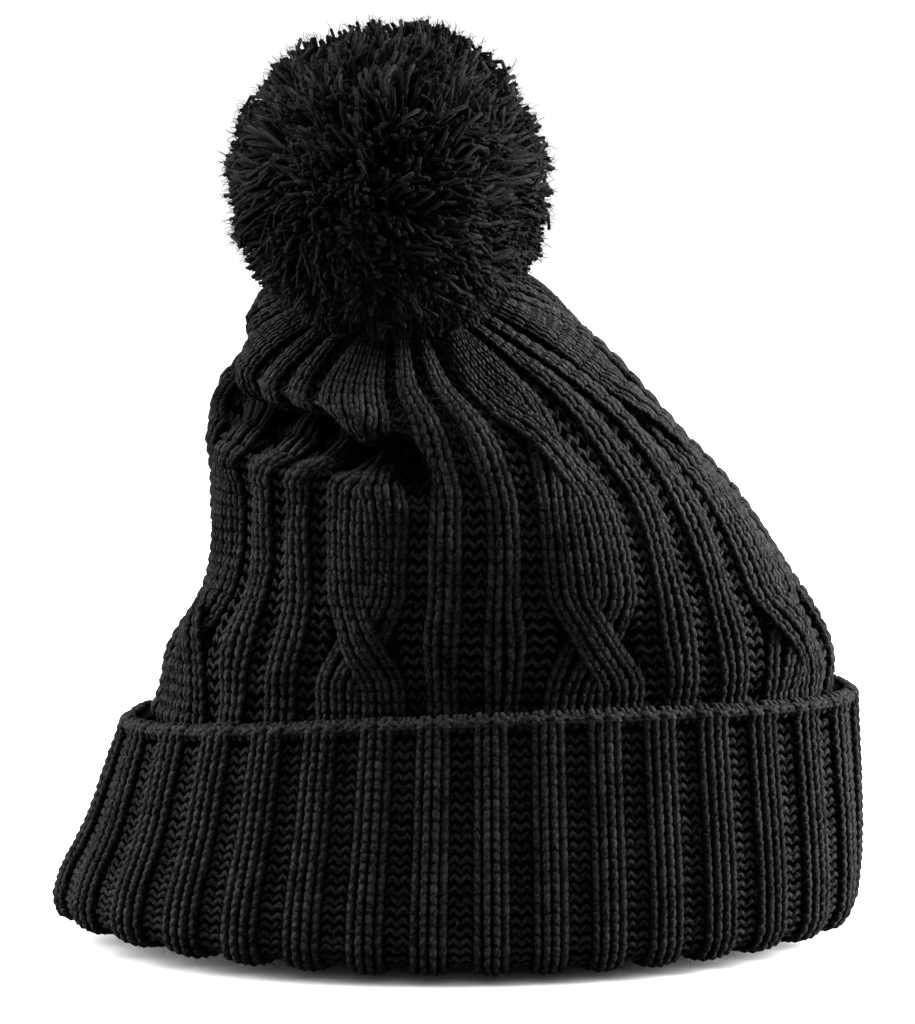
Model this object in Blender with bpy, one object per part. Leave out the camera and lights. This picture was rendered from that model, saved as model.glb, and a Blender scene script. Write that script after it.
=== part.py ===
"""A cuffed cable-knit beanie with a yarn pompom, standing open on its turned-up cuff.

Metres, +Z up, +X to the wearer's side, -Y to the front. The origin is at the middle of the base.
Angles round the hat run from the front (0) through +X (a quarter turn) to the back (half a turn).
"""

import math

import bmesh
import bpy
from mathutils import Matrix, Vector

MM = 0.001

# The pompom overhangs the front, so the cuff's middle lies a little behind the middle of the whole.
CUFF_MIDDLE = Vector((-0.8, 9.59, 0.0))

# The crown's outer skin, as rings from the fold to the gathered eyelet:
# height, centre x, centre y, half width, half depth, rise toward the back per unit of depth,
# with the centres measured from the cuff's middle.
CROWN_RINGS = (
    (5.5, 0.0, 0.0, 101.0, 48.0, 0.00),
    (36.0, 5.5, 0.0, 97.0, 47.0, 0.00),
    (66.0, 10.0, 0.0, 91.5, 46.0, 0.00),
    (80.0, 11.8, 0.0, 90.0, 49.5, 0.00),
    (102.0, 12.0, -1.0, 78.5, 56.0, 0.00),
    (124.0, 4.3, -3.0, 70.0, 58.0, 0.02),
    (145.0, -5.5, -7.0, 60.0, 54.0, 0.10),
    (160.0, -10.0, -10.0, 50.0, 47.0, 0.25),
    (170.0, -14.0, -13.0, 41.0, 37.0, 0.42),
    (177.0, -15.5, -18.0, 27.0, 23.5, 0.55),
    (179.5, -16.0, -20.0, 13.0, 11.0, 0.58),
    (178.8, -16.0, -20.5, 6.2, 6.2, 0.58),
)
KNIT_THICKNESS = 4.2
CROWN_ROWS = 24
COLUMNS = 48

# The slouch: a soft roll of knit over a pressed-in crease on the front of the -X side.
ROLL = {"turn": -42.0, "wide": 34.0, "ring": 6.9, "tall": 0.75, "out": 6.5}
CREASE = {"turn": -50.0, "wide": 30.0, "ring": 5.8, "tall": 0.42, "out": -5.5}

# The turned-up cuff lies outside the crown's lower skin.
CUFF_GAP = 3.2
CUFF_THICKNESS = 4.6
CUFF_BELLY = 1.4
FOLD_HEIGHT = 5.2
FOLD_INSET = 4.6
LIP = 1.5
CUFF_WALL_ROWS = 6

# The pompom stands on its tie, which leaves the eyelet leaning toward the front.
FLEX_POINT = CUFF_MIDDLE + Vector((-16.0, -20.3, 179.0))
TIE_LEAN = math.radians(30.0)
BALL_RADIUS = 42.0
BALL_CENTRE = 28.0
BALL_FLAT = 3.8
BALL_EDGE = 7.4
BORE_RADIUS = 6.0

SEAM_WIDTH = 5.0
SEAM_THICKNESS = 1.6
SEAM_GAP = 0.7


def blended(position):
    """The ring at a fractional place in CROWN_RINGS, on a Catmull-Rom curve through them."""
    last = len(CROWN_RINGS) - 1
    start = min(int(position), last - 1)
    t = position - start
    a, b, c, d = (CROWN_RINGS[min(max(start + k, 0), last)] for k in (-1, 0, 1, 2))
    return [
        0.5 * (2 * q + (r - p) * t + (2 * p - 5 * q + 4 * r - s) * t * t + (3 * q - p - 3 * r + s) * t**3)
        for p, q, r, s in zip(a, b, c, d)
    ]


def swell(bump, degrees, position):
    """How far a roll or a crease moves the skin outward at this place, in mm."""
    across = (degrees - bump["turn"]) / bump["wide"]
    along = (position - bump["ring"]) / bump["tall"]
    return bump["out"] * math.exp(-across * across - along * along)


def skin(turn, position):
    """A point on the crown's outer skin."""
    height, x, y, wide, deep, rise = blended(position)
    degrees = (math.degrees(turn) + 180) % 360 - 180
    out = swell(ROLL, degrees, position) + swell(CREASE, degrees, position)
    east = (wide + out) * math.sin(turn)
    south = (deep + out) * math.cos(turn)
    return CUFF_MIDDLE + Vector((x + east, y - south, height - rise * south))


def outward(turn, position):
    """The unit normal of the crown's outer skin."""
    step = 0.02
    last = len(CROWN_RINGS) - 1
    along = skin(turn, min(position + step, last)) - skin(turn, max(position - step, 0))
    across = skin(turn + step, position) - skin(turn - step, position)
    return across.cross(along).normalized()


def level_outward(turn, position):
    """The crown's normal without its upward part, for offsets that keep their height."""
    normal = outward(turn, position)
    return Vector((normal.x, normal.y, 0)).normalized()


def place_at_height(height):
    """The fractional ring whose height this is, in the lower crown."""
    low, high = 0.0, 4.0
    for _ in range(30):
        middle = (low + high) / 2
        if blended(middle)[0] < height:
            low = middle
        else:
            high = middle
    return low


def material(name, colour, roughness):
    made = bpy.data.materials.new(name)
    made.use_nodes = True
    shader = made.node_tree.nodes["Principled BSDF"]
    shader.inputs["Base Color"].default_value = (*colour, 1)
    shader.inputs["Roughness"].default_value = roughness
    shader.inputs["Metallic"].default_value = 0
    return made


def mesh_object(name, points, faces, yarn, origin=Vector((0, 0, 0))):
    """An object from points in mm, with its faces turned outward and its origin at a given point."""
    mesh = bpy.data.meshes.new(name)
    mesh.from_pydata([(p - origin) * MM for p in points], [], faces)
    work = bmesh.new()
    work.from_mesh(mesh)
    bmesh.ops.recalc_face_normals(work, faces=work.faces)
    work.to_mesh(mesh)
    work.free()
    mesh.shade_smooth()
    mesh.set_sharp_from_angle(angle=math.radians(50))
    mesh.materials.append(yarn)
    made = bpy.data.objects.new(name, mesh)
    made.location = origin * MM
    bpy.context.scene.collection.objects.link(made)
    return made


def tube_of_sections(sections, closed_ring):
    """Faces that join equal closed sections in order, the last to the first where closed_ring."""
    sides = len(sections[0])
    points = [p for section in sections for p in section]
    faces = []
    count = len(sections)
    for i in range(count if closed_ring else count - 1):
        j = (i + 1) % count
        for k in range(sides):
            n = (k + 1) % sides
            faces.append((i * sides + k, j * sides + k, j * sides + n, i * sides + n))
    if not closed_ring:
        faces.append(tuple(range(sides - 1, -1, -1)))
        faces.append(tuple((count - 1) * sides + k for k in range(sides)))
    return points, faces


def crown_positions():
    last = len(CROWN_RINGS) - 1
    return [last * row / CROWN_ROWS for row in range(CROWN_ROWS + 1)]


def crown_knit(yarn):
    """The crown: one skin of knit from the fold up to the eyelet, open at both ends."""
    sections = []
    for column in range(COLUMNS):
        turn = math.tau * column / COLUMNS
        outer = [skin(turn, p) for p in crown_positions()]
        inner = []
        for place, point in zip(crown_positions(), outer):
            drop = outward(turn, place)
            if place == 0:
                drop = level_outward(turn, place)
            inner.append(point - KNIT_THICKNESS * drop)
        sections.append(outer + inner[::-1])
    points, faces = tube_of_sections(sections, True)
    return mesh_object("crown_knit", points, faces, yarn)


def cuff_top(turn):
    """The cuff stands tallest at the front and back and droops on the -X side."""
    return 65.0 + 4.0 * math.sin(turn) + 5.0 * math.cos(turn) ** 2


def cuff_profile(turn):
    """The cuff's section as (offset outward, height) pairs: the fold, the wall and its rolled lip."""
    top = cuff_top(turn)
    outer = CUFF_GAP + CUFF_THICKNESS
    profile = [(-FOLD_INSET, 0.0), (5.0, 0.0), (outer, 2.6), (outer + CUFF_BELLY, 9.0)]
    for row in range(1, CUFF_WALL_ROWS):
        share = row / CUFF_WALL_ROWS
        profile.append((outer + CUFF_BELLY * (1 - share) ** 2, 9.0 + share * (top - LIP - 9.0)))
    profile += [(outer, top - LIP), (outer - CUFF_THICKNESS / 2, top), (CUFF_GAP, top - LIP)]
    for row in range(1, CUFF_WALL_ROWS):
        share = row / CUFF_WALL_ROWS
        profile.append((CUFF_GAP, top - LIP + share * (9.0 - top + LIP)))
    profile += [(CUFF_GAP, 9.0), (CUFF_GAP, FOLD_HEIGHT), (-FOLD_INSET, FOLD_HEIGHT)]
    return profile


def beside_crown(turn, offset, height):
    """A point at this height, this far outside the crown's skin."""
    place = place_at_height(max(height, CROWN_RINGS[0][0]))
    point = skin(turn, place) + offset * level_outward(turn, place)
    point.z = height
    return point


def cuff_knit(yarn):
    """The turned-up cuff with its fold, whose flat underside is what the hat stands on."""
    sections = []
    for column in range(COLUMNS):
        turn = math.tau * column / COLUMNS
        sections.append([beside_crown(turn, offset, height) for offset, height in cuff_profile(turn)])
    points, faces = tube_of_sections(sections, True)
    return mesh_object("cuff_knit", points, faces, yarn)


def strip_section(near, outward_way, side_way, sign):
    """Four corners of a seam's section, whose near face starts at the given point."""
    half = side_way * SEAM_WIDTH / 2
    far = near + sign * SEAM_THICKNESS * outward_way
    return [near - half, near + half, far + half, far - half]


def crown_back_seam(yarn):
    """The seam allowance: a flat ridge down the inside of the crown's back."""
    sections = []
    for place in crown_positions()[1:-5]:
        away = outward(math.pi, place)
        near = skin(math.pi, place) - (KNIT_THICKNESS + SEAM_GAP) * away
        sections.append(strip_section(near, away, Vector((1, 0, 0)), -1))
    points, faces = tube_of_sections(sections, False)
    return mesh_object("crown_back_seam", points, faces, yarn)


def cuff_back_seam(yarn):
    """The cuff's own seam allowance, turned inward between the two layers."""
    sections = []
    low, high, steps = 9.0, 62.0, 8
    for step in range(steps + 1):
        height = low + (high - low) * step / steps
        near = beside_crown(math.pi, SEAM_GAP, height)
        away = level_outward(math.pi, place_at_height(height))
        sections.append(strip_section(near, away, Vector((1, 0, 0)), 1))
    points, faces = tube_of_sections(sections, False)
    return mesh_object("cuff_back_seam", points, faces, yarn)


def tie_frame():
    """Carries a turned shape's own axis onto the tie, with its zero at the flex point."""
    return Matrix.Translation(FLEX_POINT) @ Matrix.Rotation(TIE_LEAN, 4, "X")


def turned(name, profile, sides, yarn):
    """A solid turned round the tie from (radius, height) pairs, which start and end on the axis or make a loop."""
    frame = tie_frame()
    points, faces, rings = [], [], []
    for radius, height in profile:
        if radius == 0:
            rings.append([len(points)])
            points.append(frame @ Vector((0, 0, height)))
            continue
        rings.append(list(range(len(points), len(points) + sides)))
        for side in range(sides):
            turn = math.tau * side / sides
            points.append(frame @ Vector((radius * math.cos(turn), radius * math.sin(turn), height)))
    pairs = list(zip(rings, rings[1:]))
    if len(rings[0]) > 1:
        pairs.append((rings[-1], rings[0]))
    for lower, upper in pairs:
        for side in range(sides):
            corners = [lower[side % len(lower)], lower[(side + 1) % sides % len(lower)]]
            corners += [upper[(side + 1) % sides % len(upper)], upper[side % len(upper)]]
            faces.append(tuple(dict.fromkeys(corners)))
    return mesh_object(name, points, faces, yarn, FLEX_POINT)


def arc(radius, centre, start, end, steps):
    """(radius, height) pairs along a circle of the section, with angles from straight down."""
    found = []
    for step in range(steps + 1):
        angle = start + (end - start) * step / steps
        found.append((centre[0] + radius * math.sin(angle), centre[1] - radius * math.cos(angle)))
    return found


def crown_gather_yarn(yarn):
    """The drawn-up yarn that rings the eyelet at the top of the crown."""
    ring = arc(1.2, (4.3, -1.4), 0, math.tau, 8)[:-1]
    return turned("crown_gather_yarn", ring, 20, yarn)


def pompom_tie_neck(yarn):
    """The tie's short neck, up through the eyelet."""
    return turned("pompom_tie_neck", [(0, -10.2), (1.9, -9.6), (1.9, 1.6), (0, 2.4)], 12, yarn)


def pompom_tie_knot(yarn):
    """The knot that holds the tie from inside the crown."""
    loop = arc(2.4, (4.8, -8.2), 0, math.tau, 8)[:-1]
    return turned("pompom_tie_knot", loop, 16, yarn)


def pompom_binding(yarn):
    """The wraps that squeeze the pompom's strands, with the tail that joins them to the neck."""
    profile = [(0, 3.2), (1.9, 3.6), (1.9, 23.0), (4.4, 24.2), (5.5, 28.0), (4.4, 31.8), (0, 32.4)]
    return turned("pompom_binding", profile, 16, yarn)


def pompom_yarn(yarn):
    """The ball of cut yarn, nearly flat where it sits over the crown, with a bore for its binding."""
    centre = BALL_CENTRE
    edge_angle = math.acos((centre - BALL_EDGE) / BALL_RADIUS)
    outline = arc(BALL_RADIUS, (0, centre), edge_angle, math.pi, 16)[:-1]
    bore = [(0, centre + 6.0), (BORE_RADIUS, centre + 5.0), (BORE_RADIUS, BALL_FLAT)]
    return turned("pompom_yarn", bore + outline + [(0, centre + BALL_RADIUS)], 32, yarn)


def build():
    for old in list(bpy.data.objects):
        bpy.data.objects.remove(old, do_unlink=True)
    crown_wool = material("crown_wool", (0.012, 0.012, 0.013), 0.92)
    cuff_wool = material("cuff_wool", (0.012, 0.012, 0.013), 0.92)
    pompom_wool = material("pompom_wool", (0.008, 0.008, 0.009), 0.95)
    thread = material("sewing_yarn", (0.015, 0.015, 0.016), 0.85)
    crown_knit(crown_wool)
    cuff_knit(cuff_wool)
    crown_back_seam(thread)
    cuff_back_seam(thread)
    crown_gather_yarn(thread)
    pompom_tie_neck(thread)
    pompom_tie_knot(thread)
    pompom_binding(thread)
    pompom_yarn(pompom_wool)


build()
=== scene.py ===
"""A black cable-knit beanie: a slouched crown, a turned-up ribbed cuff and a yarn pompom on its tie."""

import math

import bpy
import numpy as np
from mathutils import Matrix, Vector


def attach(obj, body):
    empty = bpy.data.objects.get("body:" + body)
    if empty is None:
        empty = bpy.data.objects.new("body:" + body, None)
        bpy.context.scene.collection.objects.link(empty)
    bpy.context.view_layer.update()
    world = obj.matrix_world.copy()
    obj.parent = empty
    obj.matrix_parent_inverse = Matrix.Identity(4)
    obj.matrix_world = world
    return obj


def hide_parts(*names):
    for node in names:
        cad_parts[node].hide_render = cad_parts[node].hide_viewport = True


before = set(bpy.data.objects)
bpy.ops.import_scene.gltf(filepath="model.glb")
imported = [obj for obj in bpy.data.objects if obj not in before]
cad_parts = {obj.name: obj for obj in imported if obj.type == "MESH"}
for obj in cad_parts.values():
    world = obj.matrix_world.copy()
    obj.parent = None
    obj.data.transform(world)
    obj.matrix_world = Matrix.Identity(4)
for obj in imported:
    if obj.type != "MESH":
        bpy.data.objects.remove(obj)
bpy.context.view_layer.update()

# -----------------------------------------------------------------------------
# The camera is level with the pompom's middle and looks down a little at the hat's front. It stands
# close enough for the cuff's rim to curve.

camera_lens = bpy.data.cameras.new("camera")
camera_lens.lens = 104.2
camera = bpy.data.objects.new("camera", camera_lens)
camera.location = (-0.0004, -0.7867, 0.2077)
looks_at = Vector((-0.0004, 0.0096, 0.1162))
camera.rotation_euler = (looks_at - camera.location).to_track_quat("-Z", "Y").to_euler()
bpy.context.scene.collection.objects.link(camera)
bpy.context.scene.camera = camera

# -----------------------------------------------------------------------------
# The cloth of the crown. A real crown is one tube of knitting, drawn together at the top, that
# slouches under its pompom. Its skin is given here in mm, as rings from the fold to the eyelet:
# height, centre x, centre y, half width, half depth, rise toward the back per unit of depth.

MM = 0.001
CUFF_MIDDLE = np.array((-0.8, 9.59, 0.0))
CROWN_RINGS = np.array((
    (5.5, 0.0, 0.0, 101.0, 48.0, 0.00),
    (36.0, 5.5, 0.0, 97.0, 47.0, 0.00),
    (66.0, 10.0, 0.0, 91.5, 46.0, 0.00),
    (80.0, 11.8, 0.0, 90.0, 49.5, 0.00),
    (102.0, 12.0, -1.0, 78.5, 56.0, 0.00),
    (124.0, 4.3, -3.0, 70.0, 58.0, 0.02),
    (145.0, -5.5, -7.0, 60.0, 54.0, 0.10),
    (160.0, -10.0, -10.0, 50.0, 47.0, 0.25),
    (170.0, -14.0, -13.0, 41.0, 37.0, 0.42),
    (177.0, -15.5, -18.0, 27.0, 23.5, 0.55),
    (179.5, -16.0, -20.0, 13.0, 11.0, 0.58),
    (178.8, -16.0, -20.5, 6.2, 6.2, 0.58),
))
LAST_RING = len(CROWN_RINGS) - 1


def ring_at(place):
    """The rings' six values at a fractional ring, on a Catmull-Rom curve."""
    start = np.clip(np.floor(place).astype(int), 0, LAST_RING - 1)
    t = (place - start)[..., None]
    p, q, r, s = (CROWN_RINGS[np.clip(start + k, 0, LAST_RING)] for k in (-1, 0, 1, 2))
    return 0.5 * (2 * q + (r - p) * t + (2 * p - 5 * q + 4 * r - s) * t**2 + (3 * q - p - 3 * r + s) * t**3)


def eased(x, low, high):
    """0 below low, 1 above high and smooth between."""
    t = np.clip((x - low) / (high - low), 0, 1)
    return t * t * (3 - 2 * t)


def slouch(turn, place):
    """The fold of the slouch: (outward, down) in mm. A roll of cloth sags over a deep pocket, and its
    end tucks in where it comes round the side."""
    degrees = (np.degrees(turn) + 180) % 360 - 180
    along = place - (6.36 - 0.66 * eased(degrees, -31, -5))
    front = eased(degrees, -86, -58) * (1 - eased(degrees, -17, -1))
    side = eased(degrees, -150, -115) * (1 - eased(degrees, -84, -58))
    roll = 4.0 * np.exp(-((along - 1.0) / 0.5) ** 2)
    pocket = -22.0 * np.exp(-(along / np.where(along < 0, 0.34, 0.42)) ** 2)
    shoulder = 3.0 * np.exp(-((along + 0.72) / 0.4) ** 2)
    sag = 3.8 * np.exp(-((along - 0.50) / 0.32) ** 2)
    tuck = -4.8 * np.exp(-((place - 7.1) / 0.55) ** 2)
    return (roll + pocket + shoulder) * front + tuck * side, sag * front


def hem_rise(turn):
    """How far the soft hem lifts off the table, in mm: most at the slouch's side, none in front."""
    west = np.exp(-(((np.degrees(turn) + 78) / 42) ** 2))
    east = np.exp(-(((np.degrees(turn) - 72) / 38) ** 2))
    return 4.6 * west + 2.6 * east


def skin(turn, place):
    """Points of the crown's outer skin, from turns (0 in front, growing to +X) and fractional rings."""
    turn, place = np.broadcast_arrays(np.asarray(turn, float), np.asarray(place, float))
    height, x, y, wide, deep, rise = np.moveaxis(ring_at(place), -1, 0)
    height = height + hem_rise(turn) * (1 - eased(place, 0.0, 1.0))
    out, down = slouch(turn, place)
    east = (wide + out) * np.sin(turn)
    south = (deep + out) * np.cos(turn)
    return CUFF_MIDDLE + np.stack((x + east, y - south, height - rise * south - down), -1)


def unit(vectors):
    return vectors / np.maximum(np.linalg.norm(vectors, axis=-1, keepdims=True), 1e-9)


def outward(turn, place):
    """Normals of the crown's skin."""
    step = 0.02
    low = np.clip(place - step, 0, LAST_RING)
    high = np.clip(place + step, 0, LAST_RING)
    along = skin(turn, high) - skin(turn, low)
    across = skin(turn + step, place) - skin(turn - step, place)
    return unit(np.cross(across, along))


def even_turns(surface, levels, fronts):
    """For each level, the turns that space points evenly round it, with the middle point in front."""
    table = []
    shares = np.linspace(0, 1, 161)
    for level, front in zip(levels, fronts):
        halves = []
        for back in (-math.pi, math.pi):
            turns = front + (back - front) * shares
            steps = np.linalg.norm(np.diff(surface(turns, level), axis=0), axis=1)
            length = np.concatenate(([0], np.cumsum(steps)))
            halves.append(np.interp(shares, length / length[-1], turns))
        table.append(np.concatenate((halves[0][:0:-1], halves[1])))
    return np.array(table)


def looked_up(table, level, share):
    """The turn at a fractional level of the table and a share of the way round, -0.5 to 0.5."""
    rows, columns = table.shape
    share = (share + 0.5) % 1.0
    level = np.clip(level, 0, 1) * (rows - 1)
    column = share * (columns - 1)
    i = np.minimum(level.astype(int), rows - 2)
    j = np.minimum(column.astype(int), columns - 2)
    a, b = level - i, column - j
    low = table[i, j] * (1 - b) + table[i, j + 1] * b
    high = table[i + 1, j] * (1 - b) + table[i + 1, j + 1] * b
    return low * (1 - a) + high * a


# The wales run straight up the front and lean toward the eyelet only near the top.
crown_levels = np.linspace(0, LAST_RING, 111)
crown_rings = ring_at(crown_levels)
front_line = np.interp(crown_levels, (0, 5.2, 8.0, LAST_RING), (3.8, 3.8, -8.0, -16.0))
front_turns = np.arcsin(np.clip((front_line - crown_rings[:, 1]) / crown_rings[:, 3], -0.9, 0.9))
crown_turns = even_turns(skin, crown_levels, front_turns)

ROW = 3.35
front_points = skin(front_turns, crown_levels)
front_length = np.concatenate(([0], np.cumsum(np.linalg.norm(np.diff(front_points, axis=0), axis=1))))
CROWN_ROWS = front_length[-1] / ROW
crown_girth = np.array([
    np.linalg.norm(np.diff(skin(np.linspace(-math.pi, math.pi, 121), level), axis=0), axis=1).sum()
    for level in crown_levels
])


def ring_of_row(row):
    return np.interp(row * ROW, front_length, crown_levels)


def on_crown(share, row, lift):
    """Points and normals of the crown's knitting, lifted off its cloth by mm."""
    share, row, lift = np.broadcast_arrays(share, row, lift)
    place = ring_of_row(row)
    wander = 0.0011 * np.sin(0.21 * row + 37 * share) + 0.0006 * np.sin(0.47 * row - 90 * share)
    turn = looked_up(crown_turns, place / LAST_RING, share + 0.016 * np.sin(math.tau * share) + wander)
    normal = outward(turn, place)
    uneven = 0.45 * np.sin(0.3 * row + 61 * share) + 0.3 * np.sin(0.7 * row - 150 * share)
    return skin(turn, place) + (lift + uneven)[..., None] * normal, normal


# Eight repeats of sixteen stitches go round the crown. Each is a six-stitch cable, then purl, knit,
# purl, knit and purl pairs. Across one repeat a cable stitch is one unit wide, a knit 1.25 and a
# purl 0.75.
REPEATS = 8
STITCHES_ROUND = REPEATS * 16
REPEAT_UNITS = 15.5
UNITS_ROUND = REPEATS * REPEAT_UNITS
KNIT_WIDTH = 1.25
FIRST_CABLE = -0.0615
KNIT_PAIRS = (5.75, 9.75)
PURL_PAIRS = (3.75, 7.75, 11.75)
CROSSING_ROWS = 15.5
FIRST_CROSSING = 25.0
SPREAD = 0.25
DRAW = 0.62
TROUGH = -3.5


def crossing(row):
    """How far the cables' strands have changed places, from 0 to 1, how near the row is to a
    crossing's middle, and that crossing's number."""
    beat = (row - FIRST_CROSSING) / CROSSING_ROWS
    nearest = np.round(beat)
    away = (beat - nearest) * CROSSING_ROWS
    return eased(away, -4.2, 4.2), np.exp(-((away / 2.7) ** 2)), nearest


def ridge(across, half_width, height):
    return height * np.sqrt(np.clip(1 - (across / half_width) ** 2, 0, 1))


def drawn_in(across, row):
    """How far the cloth moves sideways, in pattern units, at a place measured from its cable's
    middle: a crossing draws its neighbours in, and they spread again between crossings."""
    across = (across + REPEAT_UNITS / 2) % REPEAT_UNITS - REPEAT_UNITS / 2
    reach = np.abs(across)
    share = np.where(reach < 3.2, reach / 3.2, np.clip(1 - (reach - 3.2) / 3.4, 0, 1))
    return np.sign(across) * share * (SPREAD - DRAW * crossing(row)[1])


def crown_relief(across, row):
    """How high the cloth stands, in mm, across one repeat measured from its cable's middle."""
    across = (across + 3.75) % REPEAT_UNITS - 3.75
    pinch = crossing(row)[1]
    high = TROUGH + ridge(across, 3.35 - 0.75 * pinch, 3.5 - 0.5 * pinch)
    for middle in KNIT_PAIRS:
        high = np.maximum(high, TROUGH + ridge(across - middle, 1.55, 2.7))
    return high


def yarn_mesh(name, lines, thickness, lift, material, sides=5, painted_shading=0.0):
    """One mesh of many lengths of yarn. lines are (count, points, 3) in mm, thickness their radii,
    and lift points out of the cloth. Its UV map runs round the yarn, and along it in mm. painted_shading
    says how much darker or paler the yarn is drawn along its length: painted shade and painted light."""
    count, steps = lines.shape[:2]
    thickness = np.broadcast_to(thickness, (count, steps))[..., None]
    along = unit(np.gradient(lines, axis=1))
    across = unit(np.cross(along, lift))
    up = np.cross(across, along)
    angles = np.arange(sides) * math.tau / sides
    rings = (lines[:, :, None] + (thickness * across)[:, :, None] * np.cos(angles)[:, None]
             + (thickness * up)[:, :, None] * np.sin(angles)[:, None])
    tips = np.stack((lines[:, 0] - 0.7 * thickness[:, 0] * along[:, 0],
                     lines[:, -1] + 0.7 * thickness[:, -1] * along[:, -1]), 1)
    points = np.concatenate((rings.reshape(count, -1, 3), tips), 1)
    per = steps * sides + 2
    quads, quad_uvs, caps, cap_uvs = [], [], [], []
    for i in range(steps - 1):
        for k in range(sides):
            n = (k + 1) % sides
            quads.append((i * sides + k, i * sides + n, (i + 1) * sides + n, (i + 1) * sides + k))
            quad_uvs.append(((k, i), (k + 1, i), (k + 1, i + 1), (k, i + 1)))
    for k in range(sides):
        n = (k + 1) % sides
        top = (steps - 1) * sides
        caps.append((per - 2, n, k))
        cap_uvs.append(((k, 0), (k + 1, 0), (k, 0)))
        caps.append((per - 1, top + k, top + n))
        cap_uvs.append(((k, steps - 1), (k, steps - 1), (k + 1, steps - 1)))
    first = (np.arange(count) * per)[:, None, None]
    corners = np.concatenate(((np.array(quads) + first).reshape(count, -1),
                              (np.array(caps) + first).reshape(count, -1)), 1)
    sizes = np.tile([4] * len(quads) + [3] * len(caps), count)
    mesh = bpy.data.meshes.new(name)
    mesh.vertices.add(count * per)
    mesh.vertices.foreach_set("co", (points * MM).ravel())
    mesh.loops.add(corners.size)
    mesh.loops.foreach_set("vertex_index", corners.ravel().astype(np.int32))
    mesh.polygons.add(len(sizes))
    starts = np.concatenate(([0], np.cumsum(sizes)[:-1]))
    mesh.polygons.foreach_set("loop_start", starts.astype(np.int32))
    mesh.update(calc_edges=True)
    lengths = np.linalg.norm(np.diff(lines, axis=1), axis=2)
    places = np.concatenate((np.zeros((count, 1)), np.cumsum(lengths, 1)), 1)
    whole = np.concatenate((np.array(quad_uvs).reshape(-1, 2), np.array(cap_uvs).reshape(-1, 2)))
    uv = np.empty((count, len(whole), 2))
    uv[..., 0] = whole[:, 0] / sides
    uv[..., 1] = places[:, whole[:, 1]]
    mesh.uv_layers.new(name="yarn").data.foreach_set("uv", uv.ravel())
    # The strand attribute is each strand's random tone plus the painted shade and light along it.
    shade = np.random.default_rng(count).random((count, 1)) + np.broadcast_to(painted_shading, (count, steps))
    shade = np.concatenate((np.repeat(shade, sides, axis=1), shade[:, [0, -1]]), 1)
    mesh.attributes.new("strand", "FLOAT", "POINT").data.foreach_set("value", shade.ravel())
    mesh.shade_smooth()
    mesh.materials.append(material)
    made = bpy.data.objects.new(name, mesh)
    bpy.context.scene.collection.objects.link(made)
    return made


# Black yarn, dyed in the wool: nearly no gloss of its own, a grey bloom of loose fibres at
# grazing light, three plies that show as slanting ridges, and small differences of tone.

PLIES = 3.0
FIBRE_SCALE = 1150.0


def linear(code):
    """A colour given as an sRGB hex code, as the linear values that shaders take."""
    values = [int(code[i:i + 2], 16) / 255 for i in (1, 3, 5)]
    return (*(v / 12.92 if v <= 0.04045 else ((v + 0.055) / 1.055) ** 2.4 for v in values), 1.0)


def node(tree, kind, settings=None, **inputs):
    """Adds a node with its settings. An input is a value, or the output socket that feeds it."""
    made = tree.nodes.new(kind)
    for key, value in (settings or {}).items():
        setattr(made, key, value)
    for key, value in inputs.items():
        place = int(key[1:]) if key[0] == "i" and key[1:].isdigit() else key.replace("_", " ")
        socket = made.inputs[place]
        if isinstance(value, bpy.types.NodeSocket):
            tree.links.new(value, socket)
        else:
            socket.default_value = value
    return made


def wool(name):
    """A material with what all wool shares: fibres that speckle it, and next to no gloss but the bloom
    of their fuzz. Real fibres are too fine to show, so the speckle is drawn 0.9 mm across. Gives its
    nodes, fibres and UV map as well."""
    made = bpy.data.materials.new(name)
    made.use_nodes = True
    tree = made.node_tree
    shader = tree.nodes["Principled BSDF"]
    shader.inputs["Specular IOR Level"].default_value = 0.05
    shader.inputs["Sheen Weight"].default_value = 0.022
    shader.inputs["Sheen Roughness"].default_value = 0.45
    place = node(tree, "ShaderNodeTexCoord")
    fibres = node(tree, "ShaderNodeTexNoise", {"noise_dimensions": "3D"}, Vector=place.outputs["Object"],
                  Scale=FIBRE_SCALE, Detail=4.0, Roughness=0.75)
    uv = node(tree, "ShaderNodeUVMap", {"uv_map": "yarn"})
    return made, tree, shader, place, fibres, uv


def dyed(tree, shader, tone, dark, pale):
    """Colours the shader between two blacks by a tone from 0 to 1."""
    colour = node(tree, "ShaderNodeMix", {"data_type": "RGBA"}, Factor=tone.outputs[0])
    colour.inputs["A"].default_value = linear(dark)
    colour.inputs["B"].default_value = linear(pale)
    tree.links.new(colour.outputs["Result"], shader.inputs["Base Color"])


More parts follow.
